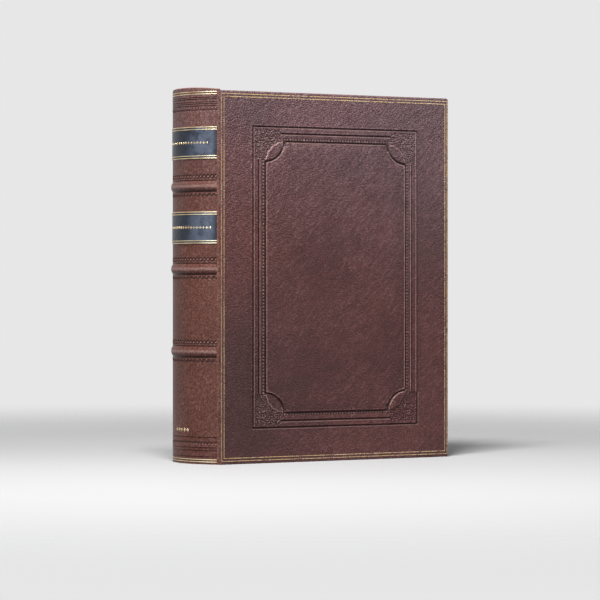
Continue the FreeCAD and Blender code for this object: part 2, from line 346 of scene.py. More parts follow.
labelLook = {
    "dark": (15, 17, 23), "light": (44, 50, 62),
    "sheen": (92, 99, 114),       # painted reflection along the front half
    "edge": (98, 74, 62),         # pared thin and rubbed
    "shine": 0.14, "gloss": 0.27, "relief": 0.00010,
    "cloud": 0.008, "cell": 0.0008, "fine": 0.0005, "crease": 0.0016,
}


def makeLabelLeather():
    # thin dark calf: two tones by noise, a painted reflection by its mark and creases that run round the
    # spine
    s = newShader("labelLeather")
    cloud = s.noise(labelLook["cloud"], 4, 0.6)
    fine = s.noise(labelLook["fine"], 3, 0.6)
    crease = s.noise(labelLook["crease"], 3, 0.6, (0.3, 0.3, 1))
    tone = s.spread(cloud * 0.5 + fine * 0.5, 0.25, 0.75)
    base = s.blend(tone, colour(labelLook["dark"]), colour(labelLook["light"]))
    base = s.blend(s.mark("sheen") * s.spread(cloud, 0.2, 0.6) * 0.62, base, colour(labelLook["sheen"]))
    base = s.blend(s.spread(s.mark("wear") + fine * 0.6, 0.75, 1.2), base, colour(labelLook["edge"]))
    height = s.cells(labelLook["cell"]) * 0.5 + fine * 0.5 + crease * 0.6
    return s.finish({
        "Base Color": base, "Roughness": labelLook["gloss"] + fine * 0.14,
        "Specular IOR Level": labelLook["shine"], "Normal": s.raised(height, labelLook["relief"], 0.8),
    })


giltLook = {
    "gold": (196, 168, 124), "pale": (224, 207, 172), "under": (112, 76, 58),
    "patch": 0.0005, "cloud": 0.009, "gloss": 0.34, "relief": 0.00006,
    "spine": 0.25, "border": 0.95,              # how worn the gold is
    "joint": 0.32, "jointReach": (4.5, 9.0),    # more wear beside the joint, fading over these millimetres
}


def makeGilt(name, worn, atJoint):
    # gold leaf over leather. Where noise passes a level, the gold has rubbed away and the leather shows
    s = newShader(name)
    patch = s.noise(giltLook["patch"], 4, 0.65)
    cloud = s.noise(giltLook["cloud"], 2, 0.5)
    gone = s.spread(patch * 0.7 + cloud * 0.3, 0.60 - worn * 0.14, 0.70 - worn * 0.12)
    nearJoint = 1 - s.spread(s.along(0), *[(coverLow[0] + reach) * mm for reach in giltLook["jointReach"]])
    gone = (gone * (0.4 + worn) + nearJoint * atJoint).limited()
    gold = s.blend(s.spread(cloud, 0.35, 0.65), colour(giltLook["gold"]), colour(giltLook["pale"]))
    base = s.blend(gone, gold, colour(giltLook["under"]))
    return s.finish({
        "Base Color": base, "Metallic": 1 - gone, "Roughness": giltLook["gloss"] + gone * 0.2 + patch * 0.1,
        "Normal": s.raised(patch, giltLook["relief"], 0.7),
    })


paperLook = {
    "page": (192, 180, 152), "brown": (142, 122, 92), "end": (204, 191, 164), "foxing": (166, 136, 98),
    "leaf": 0.00028, "section": 0.0026, "stain": 0.02,          # metres across
    "fibre": 0.0009, "cloud": 0.03, "spot": 0.006,
    "leafRelief": 0.00012, "fibreRelief": 0.00005, "edgeGloss": 0.88, "sheetGloss": 0.86,
}


def makePageEdges():
    # the cut edges of the leaves: noise drawn out into fine lines across the thickness of the book
    s = newShader("pageEdges")
    drawn = (0.004, 1, 0.004)
    leaf = s.noise(paperLook["leaf"], 3, 0.6, drawn)
    section = s.noise(paperLook["section"], 3, 0.6, drawn)
    stain = s.spread(s.noise(paperLook["stain"], 4, 0.6), 0.52, 0.75)
    tone = s.spread(leaf * 0.6 + section * 0.4, 0.38, 0.62)
    base = s.blend(tone, colour(paperLook["brown"]), colour(paperLook["page"]))
    base = s.blend(stain * 0.4, base, colour(paperLook["brown"]))
    bump = s.raised(leaf + section * 0.6, paperLook["leafRelief"], 0.9)
    return s.finish({"Base Color": base, "Roughness": paperLook["edgeGloss"], "Normal": bump})


def makeEndpaper():
    # plain laid paper with clouds of tone and a few brown spots
    s = newShader("endpaper")
    fibre = s.noise(paperLook["fibre"], 4, 0.7)
    cloud = s.spread(s.noise(paperLook["cloud"], 3, 0.5), 0.4, 0.65)
    spots = s.spread(s.noise(paperLook["spot"], 2, 0.5), 0.66, 0.74)
    base = s.blend(cloud * 0.4, colour(paperLook["end"]), colour(paperLook["page"]))
    base = s.blend(spots * 0.4, base, colour(paperLook["foxing"]))
    base = s.blend(fibre * 0.2, base, colour(paperLook["brown"]))
    bump = s.raised(fibre, paperLook["fibreRelief"], 0.7)
    return s.finish({"Base Color": base, "Roughness": paperLook["sheetGloss"] + fibre * 0.08, "Normal": bump})


fibreLook = {
    "millboard": {"dark": (150, 136, 116), "light": (184, 170, 148), "size": 0.0012, "rough": 0.85},
    "hempCord": {"dark": (150, 124, 86), "light": (196, 172, 128), "size": 0.0006, "rough": 0.85},
    "liningPaper": {"dark": (176, 156, 122), "light": (206, 190, 156), "size": 0.001, "rough": 0.88},
}


def makeFibres(name):
    # fibres of two tones: fine noise over noise six times as wide
    look = fibreLook[name]
    s = newShader(name)
    fibre = s.noise(look["size"], 5, 0.65)
    speck = s.noise(look["size"] * 6, 3, 0.5)
    tone = s.spread(fibre * 0.7 + speck * 0.3, 0.35, 0.65)
    base = s.blend(tone, colour(look["dark"]), colour(look["light"]))
    bump = s.raised(fibre, look["size"] * 0.15, 0.8)
    return s.finish({"Base Color": base, "Roughness": look["rough"] + fibre * 0.08, "Normal": bump})


silkLook = {
    "red": (150, 46, 40), "straw": (214, 190, 140), "shadow": (70, 36, 30),
    "thread": 0.00025, "relief": 0.00004, "gloss": 0.42,
}


def makeSilk():
    # two colours of thread, which take turns by the mark of the stripes
    s = newShader("endBandSilk")
    thread = s.noise(silkLook["thread"], 2, 0.5)
    base = s.blend(s.spread(s.mark("stripe"), 0.4, 0.6), colour(silkLook["red"]), colour(silkLook["straw"]))
    base = s.blend(thread * 0.35, base, colour(silkLook["shadow"]))
    bump = s.raised(thread, silkLook["relief"], 0.7)
    return s.finish({"Base Color": base, "Roughness": silkLook["gloss"] + thread * 0.2, "Normal": bump})


coverLeather = makeLeather("coverLeather", leatherLook["cover"])
spineLeather = makeLeather("spineLeather", leatherLook["spine"])
labelLeather = makeLabelLeather()
spineGilt = makeGilt("spineGilt", giltLook["spine"], 0.0)
borderGilt = makeGilt("borderGilt", giltLook["border"], giltLook["joint"])
pageEdges = makePageEdges()
endpaper = makeEndpaper()
millboard = makeFibres("millboard")
hempCord = makeFibres("hempCord")
liningPaper = makeFibres("liningPaper")
silk = makeSilk()
print("materials made")


panel = {
    "spine": 22.6, "fore": 24.0, "head": 21.2, "tail": 21.4,   # margins round the tooled panel
    "frame": 9.9,          # from the outer groove to the edge of the inner panel
    "middle": 4.55,        # middle of the second groove, from the outer edge of the first
    "groove": 0.95, "depth": 0.56, "lip": 0.20, "shadow": 0.5,
    "round": 0.16, "outerRound": (2.45, 1.75), "innerRound": (6.0, 1.1),    # rise, middle and half width
    "beadLine": 8.25, "bedDepth": 0.42, "bedHalf": 0.85, "bedShadow": 0.52,
    "lobe": 12.4,          # radius of the quarter circles at the corners
    "lobeWide": 1.08,      # how much wider than tall they are
    "corner": 21.0,        # side of the ornamented corner squares
    "pillow": 0.75, "pillowRun": 2.8,          # rise of the padded middle and how soon it gets there
    "sheen": 0.8, "paintedSheenRun": 4.5,             # painted sheen on it, most near its upper edge at the spine
}
cornerLeaf = {
    "bow": 13.1,           # radius of the scalloped bow on its outer side, and where the bow's middle is
    "scallop": 0.6, "scallops": 9,
    "gap": 0.4,            # between the leaf and the quarter circle
    "rise": 0.50, "rib": 0.10,
    "stipplePitch": 1.3, "stippleDepth": 0.24, "stippleDot": 0.62,
    "quiet": 0.45,         # share of the stipple's lighter marks that is kept low at the fore-edge
}


def grooveShape(t, width, depth, rim):
    # a round-bottomed line with a soft lip pushed up along both sides
    return rim * bell(np.abs(t) - width * 0.78, width * 0.3) - depth * hump(t, width / 2) ** 0.8


def cellDots(a, b, pitch, seed):
    # distance to the nearest of many dots, one shaken about in each cell of a square lattice
    rng = np.random.default_rng(seed)
    shake = rng.random((64, 64, 2)) * 0.7 + 0.15
    cellA, cellB = np.floor(a / pitch).astype(int), np.floor(b / pitch).astype(int)
    best = np.full(a.shape, 9.0)
    for da in (-1, 0, 1):
        for db in (-1, 0, 1):
            own = shake[(cellA + da) % 64, (cellB + db) % 64]
            reach = np.hypot((cellA + da + own[..., 0]) * pitch - a, (cellB + db + own[..., 1]) * pitch - b)
            best = np.minimum(best, reach)
    return best


def panelRelief(u, z):
    # height of the tooled leather over the flat of the cover, how dark it is, and how much it is rubbed and
    # given painted highlights. All three follow d, how far in from the panel's outer groove a point is, and
    # edge, how far it is in from the inner panel's outline, which a quarter circle round p, q = 0 cuts back
    # at each corner
    a = np.minimum(u - panel["spine"], coverLength - panel["fore"] - u)
    b = np.minimum(z - panel["tail"], coverHeight - panel["head"] - z)
    d = np.minimum(a, b)
    groove, depth, lip = panel["groove"], panel["depth"], panel["lip"]
    corner = np.maximum(a, b) < panel["corner"]
    run = smoothStep(panel["corner"] - 0.6, panel["corner"], np.maximum(a, b))
    inner = panel["frame"] - groove / 2
    p, q = (a - inner) / panel["lobeWide"], b - inner
    inside = (a > inner) & (b > inner)
    reach = np.hypot(np.maximum(p, 0), np.maximum(q, 0))
    edge = np.where(inside, np.minimum(d - inner, reach - panel["lobe"]), d - inner)
    onEdge = np.where(inside, 1.0, (np.maximum(p, q) > panel["lobe"]) * 1.0)
    first, second, bed = d - groove / 2, d - panel["middle"], d - panel["beadLine"]

    height = grooveShape(first, groove, depth, lip) * (d > -2)
    height += grooveShape(second, groove, depth, lip) * run
    for middle, half in (panel["outerRound"], panel["innerRound"]):
        height += panel["round"] * hump(d - middle, half) * run
    height -= panel["bedDepth"] * hump(bed, panel["bedHalf"]) * run
    height += grooveShape(edge, groove * 1.1, depth * 1.1, lip * 1.4) * onEdge
    height += panel["pillow"] * (1 - np.exp(-np.maximum(edge - 0.2, 0) / panel["pillowRun"])) * (d > inner)
    dark = 0.9 * np.maximum(hump(first, panel["shadow"]), hump(second, panel["shadow"]) * run)
    dark = np.maximum(dark, np.clip(1.3 - (bed / panel["bedShadow"]) ** 2, 0, 1) * run)
    dark = np.maximum(dark, 0.9 * hump(edge, panel["shadow"] * 1.1) * onEdge)

    # a leaf lies in each corner, between the quarter circle and its own bow, on stippled ground
    bow = cornerLeaf["bow"]
    around = np.arctan2(q - bow, p - bow)
    scallops = np.abs(np.sin(around * cornerLeaf["scallops"]))
    toBow = bow - np.hypot(p - bow, q - bow) + cornerLeaf["scallop"] * scallops
    toCircle = panel["lobe"] - cornerLeaf["gap"] - np.hypot(p, q)
    lens = np.minimum(toBow, toCircle)
    leaf = corner & (lens > 0) & (d > 2)
    ribs = np.abs(np.sin(np.arctan2(q + 1.5, p + 1.5) * cornerLeaf["scallops"]))
    leafHeight = cornerLeaf["rise"] * smoothStep(0, 0.9, lens)
    leafHeight -= cornerLeaf["rib"] * (1 - ribs) ** 2 * smoothStep(0.8, 2.5, lens)
    ground = corner & ~leaf & (d > groove + 1.0) & (edge < -0.5)
    dots = cellDots(a, b, cornerLeaf["stipplePitch"], 7)
    stipple = cornerLeaf["stippleDepth"] * (2 * hump(dots, cornerLeaf["stippleDot"]) - 1)
    height = np.where(ground, stipple, np.where(leaf, height * 0.2 + leafHeight, height))
    dark = np.where(leaf, 0.55 * (1 - smoothStep(0, 0.35, lens)), dark)
    dark = np.where(ground, 0.35 * smoothStep(0.4, 0.8, dots), dark)

    # the lips of the lines are rubbed by handling and carry a painted highlight, full on the side that faces
    # the light; the panel gets a painted sheen, the leaves a painted highlight on their lit edges, and the
    # tops of the stipple are rubbed
    lower = z < coverHeight / 2
    lowFore = corner & lower & (u > coverLength / 2)
    litSide = np.where(((b < a) & lower) | lowFore, -1, 1)
    wearAndHighlight = np.zeros_like(height)
    for t, on in ((first, d > -2), (second, run > 0.5), (edge, onEdge > 0.5)):
        lips = bell(np.abs(t) - groove * 0.95, 0.38)
        wearAndHighlight = np.maximum(wearAndHighlight, lips * np.where(t * litSide > 0, 1.0, 0.35) * on)
    # painted sheen on the padded panel, strongest towards the top and the spine
    sheen = np.clip(0.6 + 0.8 * (z / coverHeight - 0.5) - 0.5 * (u / coverLength - 0.5), 0, 1)
    sheen = sheen * np.exp(-np.maximum(edge, 0) / panel["paintedSheenRun"]) * (d > inner)
    wearAndHighlight = np.maximum(wearAndHighlight, panel["sheen"] * sheen)
    # painted highlight along each leaf's lit edge
    wearAndHighlight = np.where(leaf, bell(np.where(lowFore, toCircle, toBow) - 0.7, 0.5), wearAndHighlight)
    groundPolish = (1 - smoothStep(0.15, 0.5, dots)) * np.where(lowFore, cornerLeaf["quiet"], 1.0)
    return height, dark, np.where(ground, groundPolish, wearAndHighlight)


# insets from the panel's outline between which the grid's lines keep a step: (from, to, step)
gridSteps = (
    (-1.0, 1.95, 0.16), (2.2, 3.5, 0.4), (3.6, 5.6, 0.16), (5.8, 6.9, 0.34),
    (7.0, 8.7, 0.2), (8.8, 10.7, 0.16), (10.9, 22.9, 0.32),
)


def gridLines(low, high, marginLow, marginHigh):
    # where the grid of a cover has its lines: close together over the tooling, wide apart elsewhere
    inset = np.concatenate([np.arange(*steps) for steps in gridSteps])
    start, end = marginLow + inset, marginHigh - inset[::-1]
    middle = np.linspace(start[-1], end[0], int((end[0] - start[-1]) / 2.2) + 2)[1:-1]
    before = np.linspace(low, start[0], 13)[:-1]
    after = np.linspace(end[-1], high, 13)[1:]
    return np.concatenate([before, start, middle, end, after])


bead = {
    "pitch": 2.03, "radius": 0.80, "sides": 8,
    "gap": 0.7,                                                  # from the end of a row to the corner square
    "rings": ((0.55, -0.08), (1.0, -0.42)), "foot": -0.7,        # share of the radius, and drop below the top
    "tall": 1.1, "stand": 0.08, "wear": 0.62,
}


def beads(side):
    # low domes in rows round the frame, between the corner ornaments. One dome of two rings, a top and a
    # foot is repeated at even steps
    lengths = coverLength - panel["fore"] - panel["spine"], coverHeight - panel["head"] - panel["tail"]
    spots = []
    for axis in (0, 1):
        run = lengths[axis] - 2 * (panel["corner"] + bead["gap"])
        count = int(run / bead["pitch"])
        along = panel["corner"] + bead["gap"] + run * (np.arange(count + 1) / count)
        for across in (panel["beadLine"], lengths[1 - axis] - panel["beadLine"]):
            pair = along, np.full_like(along, across)
            spots.append(np.stack(pair if axis == 0 else pair[::-1], -1))
    spots = np.concatenate(spots) + [panel["spine"], panel["tail"]]
    sides = bead["sides"]
    turn = np.arange(sides) * 2 * math.pi / sides
    rings = [np.stack([r * np.cos(turn), r * np.sin(turn), np.full(sides, h)], -1) for r, h in bead["rings"]]
    dome = np.concatenate(rings + [[[0, 0, 0], [0, 0, bead["foot"]]]])
    i, j = np.arange(sides), (np.arange(sides) + 1) % sides
    quads = np.stack([i, j, sides + j, sides + i], -1)
    top, foot = np.full(sides, 2 * sides), np.full(sides, 2 * sides + 1)
    tris = np.concatenate([np.stack([j, i, top], -1), np.stack([sides + i, sides + j, foot], -1)])
    size = bead["radius"]
    shape = spots[:, None, :] + dome[None, :, :2] * size
    lift = np.broadcast_to(dome[None, :, 2] * size * bead["tall"] + bead["stand"], shape.shape[:2])
    points = np.stack([coverLow[0] + shape[..., 0], -outerY - lift, shape[..., 1]], -1)
    starts = (np.arange(len(spots)) * len(dome))[:, None, None]
    faces = (starts + quads).reshape(-1, 4).tolist() + (starts + tris).reshape(-1, 3).tolist()
    return mirrorSide(points, side), faces, {"tooling": 0.0, "wear": bead["wear"]}


coverEdge = {
    "flat": 1.6,           # width of the rim outside the tooled grid
    "corner": 1.6,         # radius of the fore corners, seen from the front
    "round": 0.9,          # radius of the edge
    "jointRound": 0.4,     # and of the edge beside the joint
    "turnIn": 9.0, "turnInThick": 0.24, "board": 0.66,
    "jointWear": 0.50,
}


def perimeter(lines, heights, inset, nearInset, steps=6):
    # points round a cover at an inset: straight sides that keep the grid's lines, arcs at the fore corners
    u = (lines - lines[0]) / (lines[-1] - lines[0])
    w = (heights - heights[0]) / (heights[-1] - heights[0])
    r = max(coverEdge["corner"] - inset, 0.0)
    left, right = nearInset, coverLength - inset
    low, high = inset, coverHeight - inset
    turn = np.linspace(0, math.pi / 2, steps)
    tail = np.stack([left + u * (right - r - left), np.full_like(u, low)], -1)
    tailCorner = np.stack([right - r + r * np.sin(turn), low + r - r * np.cos(turn)], -1)
    fore = np.stack([np.full_like(w, right), low + r + w * (high - low - 2 * r)], -1)
    headCorner = np.stack([right - r + r * np.cos(turn), high - r + r * np.sin(turn)], -1)
    head = np.stack([left + u * (right - r - left), np.full_like(u, high)], -1)[::-1]
    near = np.stack([np.full_like(w, left), low + w * (high - low)], -1)[::-1]
    return np.concatenate([tail, tailCorner, fore, headCorner, head, near])


def edgeProfile():
    # from the rim of the face over the edge to the end of the turn-in and back behind it, point by point:
    # inset, inset beside the joint, distance from the middle of the book, wear
    flat, round, jointRound = coverEdge["flat"], coverEdge["round"], coverEdge["jointRound"]
    innerY, near, board = -coverHigh[1], book["lip"] - 0.04, coverEdge["board"]
    turnIn, thick = coverEdge["turnIn"], coverEdge["turnInThick"]
    rows = [(flat, flat, outerY, 0.2)]
    for turn in np.linspace(0, math.pi / 2, 6):
        drop = round * (1 - math.cos(turn))
        nearInset = jointRound - math.sqrt(jointRound ** 2 - max(jointRound - drop, 0) ** 2)
        wear = 0.42 + 0.14 * math.sin(2 * turn)
        rows.append((round * (1 - math.sin(turn)), nearInset, outerY - drop, wear))
    rows += [(0, near, outerY - round - 0.02, 0.35), (0, near, innerY + round, 0.45)]
    for turn in np.linspace(math.pi / 10, math.pi / 2, 5):
        rows.append((round * (1 - math.cos(turn)), near, innerY + round * (1 - math.sin(turn)), 0.45))
    rows += [(turnIn - 0.4, near, innerY, 0.1), (turnIn, near + 0.06, innerY + 0.04, 0.1)]
    rows += [(turnIn, near + 0.06, innerY + thick, 0.0), (board, near + 0.02, innerY + thick, 0.0)]
    return rows + [(board, near + 0.02, outerY - board, 0.0)]


def coverSkin(name, side, material):
    # the leather of one cover: the tooled face as a height over a grid, and a profile carried round the edges
    flat = coverEdge["flat"]
    x = gridLines(flat, coverLength - flat, panel["spine"], coverLength - panel["fore"])
    z = gridLines(flat, coverHeight - flat, panel["tail"], coverHeight - panel["head"])
    u, w = np.meshgrid(x, z, indexing="ij")
    height, dark, wearAndHighlight = panelRelief(u, w)
    face = np.stack([coverLow[0] + u, -outerY - height, w], -1)
    rim = np.minimum(np.minimum(u, coverLength - u), np.minimum(w, coverHeight - w))
    # wear near the rim, and the tooling's wear and painted highlights
    faceWearAndHighlight = np.maximum(0.2 * (1 - smoothStep(1.5, 5.0, rim)), 0.84 * wearAndHighlight * (dark < 0.4))
    rows = edgeProfile()
    rings = []
    for inset, nearInset, y, _ in rows:
        outline = perimeter(x, z, inset, nearInset)
        rings.append(np.stack([coverLow[0] + outline[:, 0], np.full(len(outline), -y), outline[:, 1]], -1))
    ring = np.array(rings)
    around = ring.shape[1]
    ringWear = np.tile(np.array([row[3] for row in rows])[:, None], around)
    ringWear[1:8, -len(z):] = coverEdge["jointWear"]
    last = (len(rows) - 1) * around
    ringFaces = gridFaces(len(rows), around, wrap=True) + [list(range(last, last + around))]
    surfaces = [
        (mirrorSide(face, side), gridFaces(*u.shape), {"tooling": dark, "wear": faceWearAndHighlight}),
        (mirrorSide(ring, side), ringFaces, {"tooling": 0.0, "wear": ringWear}),
        beads(side),
    ]
    return buildMesh(name, surfaces, material)


frontSkin = coverSkin("front_cover_skin", 1, coverLeather)
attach(frontSkin, "front_cover")
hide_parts("front_cover_leather")
backSkin = coverSkin("back_cover_skin", -1, coverLeather)
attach(backSkin, "back_cover")
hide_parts("back_cover_leather")
print("covers made")


spineTooling = {
    "columns": 190,
    "headLines": (5.2, 6.3, 8.0, 9.1, 10.5),     # below the head of the spine
    "tailLines": (4.6, 8.4, 10.2, 16.5),         # above the tail
    "endLine": (0.55, 0.24, 0.07, 0.34),         # width, depth, lip and half the shadow's width
    "lineAbove": (3.4, 0.6, 0.26),               # middle above a band's middle, width and depth
    # the line below is a blind line drawn wide and dark, as painted shadow under the band
    "lineBelow": (-3.2, 1.5, 0.45),
    "stampPress": 0.36,
    "stampTop": 0.02,                            # from this height on, a stamp's dot gets a painted highlight
    "fine": 0.26, "coarse": 1.6,                 # steps of the grid over the tooling and between it
    "busyTail": (0.6, 18.0), "busyHead": (15.0, 0.6), "busyBand": (8.2, 7.8),
}
# rows of stamps: how far from the middle of a band, or from the head or the tail, then the pitch, half the
# height of the row and its darkness. A row that points down is turned over
stampRows = {
    "rings": {"from": 5.7, "pitch": 2.64, "half": 1.9, "dark": 0.8, "up": 1},
    "fans": {"from": -5.9, "pitch": 3.3, "half": 2.2, "dark": 0.8, "up": -1},
    "headFans": {"from": -12.7, "pitch": 2.2, "half": 2.0, "dark": 0.7, "up": -1},
    "tailFans": {"from": 13.3, "pitch": 2.2, "half": 2.0, "dark": 0.7, "up": 1},
}
headcap = {
    "depth": 2.4,          # how far the leather turns in over the pages
    "crown": 1.4,          # how much higher it stands at the middle of the back
    "round": 0.6, "start": 4.5,
    "wear": 0.75,
}


def spinePoints(angle, radius, z):
    # points at an angle round the spine, plus towards the front, and at a radius from its axis
    angle, radius, z = np.broadcast_arrays(angle, radius, z)
    return np.stack([axisX - radius * np.cos(angle), -radius * np.sin(angle), z], -1)


def bandHeight(t):
    # a crown arc that meets two hollow foot arcs smoothly
    crown, foot, rise = book["bandCrown"], book["bandFoot"], book["bandRise"]
    reach, across = crown + foot, crown + foot - rise
    end = math.sqrt(reach ** 2 - across ** 2)
    meet = end * crown / reach
    t = np.abs(t)
    top = rise - crown + np.sqrt(np.clip(crown ** 2 - np.minimum(t, meet) ** 2, 0, None))
    low = foot - np.sqrt(np.clip(foot ** 2 - np.clip(end - t, 0, foot) ** 2, 0, None))
    return np.where(t < meet, top, low)


def besideStamp(s, pitch):
    # from the middle of the nearest stamp, round the spine
    return (s / pitch - np.floor(s / pitch) - 0.5) * pitch


def ringStamps(s, t, pitch):
    # small upright rings side by side, pressed into the leather, each with a dot left standing in it
    reach = np.hypot(besideStamp(s, pitch), t / 1.15)
    ring = hump(reach - 0.95, 0.36)
    return 0.16 * hump(reach, 0.4) - spineTooling["stampPress"] * ring, ring


def fanStamps(s, t, pitch):
    # two half rings one in the other, with a dot at the middle of the straight side
    beside, t = besideStamp(s, pitch), t + 1.1
    reach = np.hypot(beside, t)
    ring = np.clip((hump(reach - 1.5, 0.3) + 0.8 * hump(reach - 0.85, 0.22)) * (t > -0.1), 0, 1)
    return 0.2 * hump(np.hypot(beside, t - 0.15), 0.38) - spineTooling["stampPress"] * ring, ring


def spineRelief(angle, z):
    # height over the plain round of the spine, how dark the tooling makes it and how rubbed it is, with a
    # painted highlight on the stamps' dots. Bands, lines and stamps add up, and fade out beside the joints
    s = angle * spineRadius
    fade = 1 - smoothStep(halfAngle - 0.055, halfAngle - 0.012, np.abs(angle))
    height, dark, rubbedAndLit = np.zeros_like(z), np.zeros_like(z), np.zeros_like(z)
    rows = []
    for band in bandHeights:
        t = z - band
        rise = bandHeight(t)
        height += rise * (0.25 + 0.75 * fade)
        rubbedAndLit = np.maximum(rubbedAndLit, np.clip(rise / book["bandRise"], 0, 1) ** 2 * 0.67)
        # the dark of the line below a band is partly blind tooling and partly painted shadow under the band
        for place, width, depth in (spineTooling["lineAbove"], spineTooling["lineBelow"]):
            height += grooveShape(t - place, width, depth, 0.03)
            dark = np.maximum(dark, 0.85 * hump(t - place, width * 0.6))
        rows += [(ringStamps, band, stampRows["rings"]), (fanStamps, band, stampRows["fans"])]
    width, depth, lip, shadow = spineTooling["endLine"]
    for place in [spineHeight - drop for drop in spineTooling["headLines"]] + list(spineTooling["tailLines"]):
        height += grooveShape(z - place, width, depth, lip)
        dark = np.maximum(dark, 0.85 * hump(z - place, shadow))
    rows += [(fanStamps, spineHeight, stampRows["headFans"]), (fanStamps, 0.0, stampRows["tailFans"])]
    for shape, start, row in rows:
        t = z - start - row["from"]
        near = np.abs(t) < row["half"]
        stamp, ring = shape(s, t * row["up"], row["pitch"])
        # painted highlight on each stamp's raised dot
        rubbedAndLit = np.maximum(rubbedAndLit, 0.9 * (stamp > spineTooling["stampTop"]) * near)
        height += stamp * near * fade
        dark = np.maximum(dark, row["dark"] * ring * near * fade)
    return height, dark, rubbedAndLit


def spineLines():
    # heights of the grid's lines: even fine steps over bands and tooling, coarse ones between
    below, above = spineTooling["busyBand"]
    busy = [spineTooling["busyTail"]] + [(band - below, band + above) for band in bandHeights]
    busy.append(tuple(spineHeight - drop for drop in spineTooling["busyHead"]))
    lines = []
    at = busy[0][0]
    for low, high in busy:
        if low > at:
            lines.append(np.linspace(at, low, int((low - at) / spineTooling["coarse"]) + 2)[1:-1])
        lines.append(np.linspace(low, high, int((high - low) / spineTooling["fine"]) + 1))
        at = high
    return np.concatenate(lines)


def makeSpine():
    # a profile up the outside, over the head, down the inside and under the tail, carried round the arc
    angle = np.linspace(-halfAngle, halfAngle, spineTooling["columns"])
    z = spineLines()
    turn, up = np.meshgrid(angle, z, indexing="ij")
    height, dark, rubbedAndLit = spineRelief(turn, up)
    outside = spinePoints(turn, spineRadius + height, up)
    wall, top, bend = book["leather"], spineHeight, headcap["round"]
    turned = 1 - smoothStep(halfAngle - 0.12, halfAngle - 0.085, np.abs(angle))
    depth = wall + (headcap["depth"] - wall) * turned
    quarter = np.linspace(math.pi / 8, math.pi / 2, 4)
    cap = [(bend * (1 - math.cos(t)), bend * (1 - math.sin(t))) for t in quarter]
    cap += [(bend + (depth - 0.9) * 0.5, 0.0), (depth - 0.3, 0.02), (depth - 0.08, 0.12), (depth, 0.34)]
    cap += [(depth, wall), (wall, wall + 0.05)]              # inward of the outside, and down from the top
    head = np.stack([spinePoints(angle, spineRadius - inward, top - drop) for inward, drop in cap], 1)
    tail = np.stack([spinePoints(angle, spineRadius - inward, drop) for inward, drop in cap[::-1]], 1)
    inside = np.stack([spinePoints(angle, spineRadius - wall, level) for level in (top - 5, top / 2, 5)], 1)
    crown = headcap["crown"] * (1 - np.abs(angle / halfAngle) ** 2.5)[:, None]
    outside[..., 2] += crown * smoothStep(top - headcap["start"], top, up)
    head[..., 2] += crown
    loop = np.concatenate([outside, head, inside, tail], 1)
    rest = (len(angle), loop.shape[1] - len(z))
    rubbedAndLit += 0.4 * (np.abs(turn) > halfAngle - 0.03)
    marks = {
        "tooling": np.concatenate([dark, np.zeros(rest)], 1),
        "wear": np.concatenate([rubbedAndLit, np.full(rest, headcap["wear"])], 1),
    }
    return buildMesh("spine_skin", [(loop, tubeFaces(*loop.shape[:2]), marks)], spineLeather, sharp=50)


spineSkin = makeSpine()
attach(spineSkin, "book_block")
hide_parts("spine_leather")
print("spine made")


joint = {"thickness": 0.55, "valley": 0.35, "across": 0.55, "wear": 0.48}
paperHinge = {"thickness": 0.1, "dip": 0.55}


def curveThrough(start, middle, end, t):
    # a parabola from start to end that leans towards the middle point
    return (1 - t) ** 2 * start + 2 * t * (1 - t) * middle + t ** 2 * end


def stripAlong(path, low, high, thickness):
    # a band of even thickness: a path seen from above and its offset, carried up from low to high
    step = np.gradient(path, axis=0)
    normal = np.stack([step[:, 1], -step[:, 0]], -1) / np.linalg.norm(step, axis=1)[:, None]
    loop = np.concatenate([path, (path + normal * thickness)[::-1]])
    foot, top = np.concatenate([low, low[::-1]]), np.concatenate([high, high[::-1]])
    share = np.linspace(0, 1, 60)[:, None]
    x, y, z = np.broadcast_arrays(loop[:, 0], loop[:, 1], foot + share * (top - foot))
    return np.stack([x, y, z], -1), tubeFaces(*z.shape)


def makeStrip(name, side, surface, material, marks):
    # mirrors the points to their side, joins them into one object and bakes its place into the points
    points, faces = surface
    strip = buildMesh(name, [(mirrorSide(points, side), faces, marks)], material, sharp=60)
    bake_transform(strip)
    return strip


def makeJoint(name, side):
    # leather that runs from the end of the spine's arc, down into the joint and up to the cover's near edge
    onSpine = spinePoints(np.linspace(halfAngle - 0.035, halfAngle, 4), spineRadius + 0.03, 0.0)[:, :2]
    start, end = onSpine[-1], np.array([coverLow[0] + 0.02, -outerY + 0.55])
    hollow = start + [joint["across"], joint["valley"]]
    bend = curveThrough(start, hollow, end, np.linspace(0, 1, 9)[1:, None])
    over = np.array([[coverLow[0] + 0.12, -outerY + 0.3], [coverLow[0] + 0.3, -outerY + 0.12]])
    path = np.concatenate([onSpine, bend, over])
    share = smoothStep(0, 1, np.linspace(0, 1, len(path)))
    low = 0.02 + 0.1 * np.sin(share * math.pi)
    high = spineHeight - 0.1 + (coverHeight - spineHeight) * share
    surface = stripAlong(path, low, high, joint["thickness"])
    strip = makeStrip(name, side, surface, spineLeather, {"wear": joint["wear"], "tooling": 0.0})


def makeHinge(name, side):
    # paper that runs from the pages' shoulder across to the paste-down inside a cover
    flyLow = boxOf("front_flyleaf")[0]
    pasteLow, pasteHigh = boxOf("front_pastedown")
    start = np.array([flyLow[0] + 0.3, flyLow[1] + 0.02])
    end = np.array([pasteLow[0] + 0.3, pasteHigh[1] - 0.02])
    dip = np.array([min(start[0], end[0]) - paperHinge["dip"], (start[1] + end[1]) / 2])
    path = curveThrough(start, dip, end, np.linspace(0, 1, 7)[:, None])
    low, high = np.full(7, pasteLow[2] + 0.1), np.full(7, pasteHigh[2] - 0.1)
    surface = stripAlong(path, low, high, paperHinge["thickness"])
    strip = makeStrip(name, side, surface, endpaper, {})


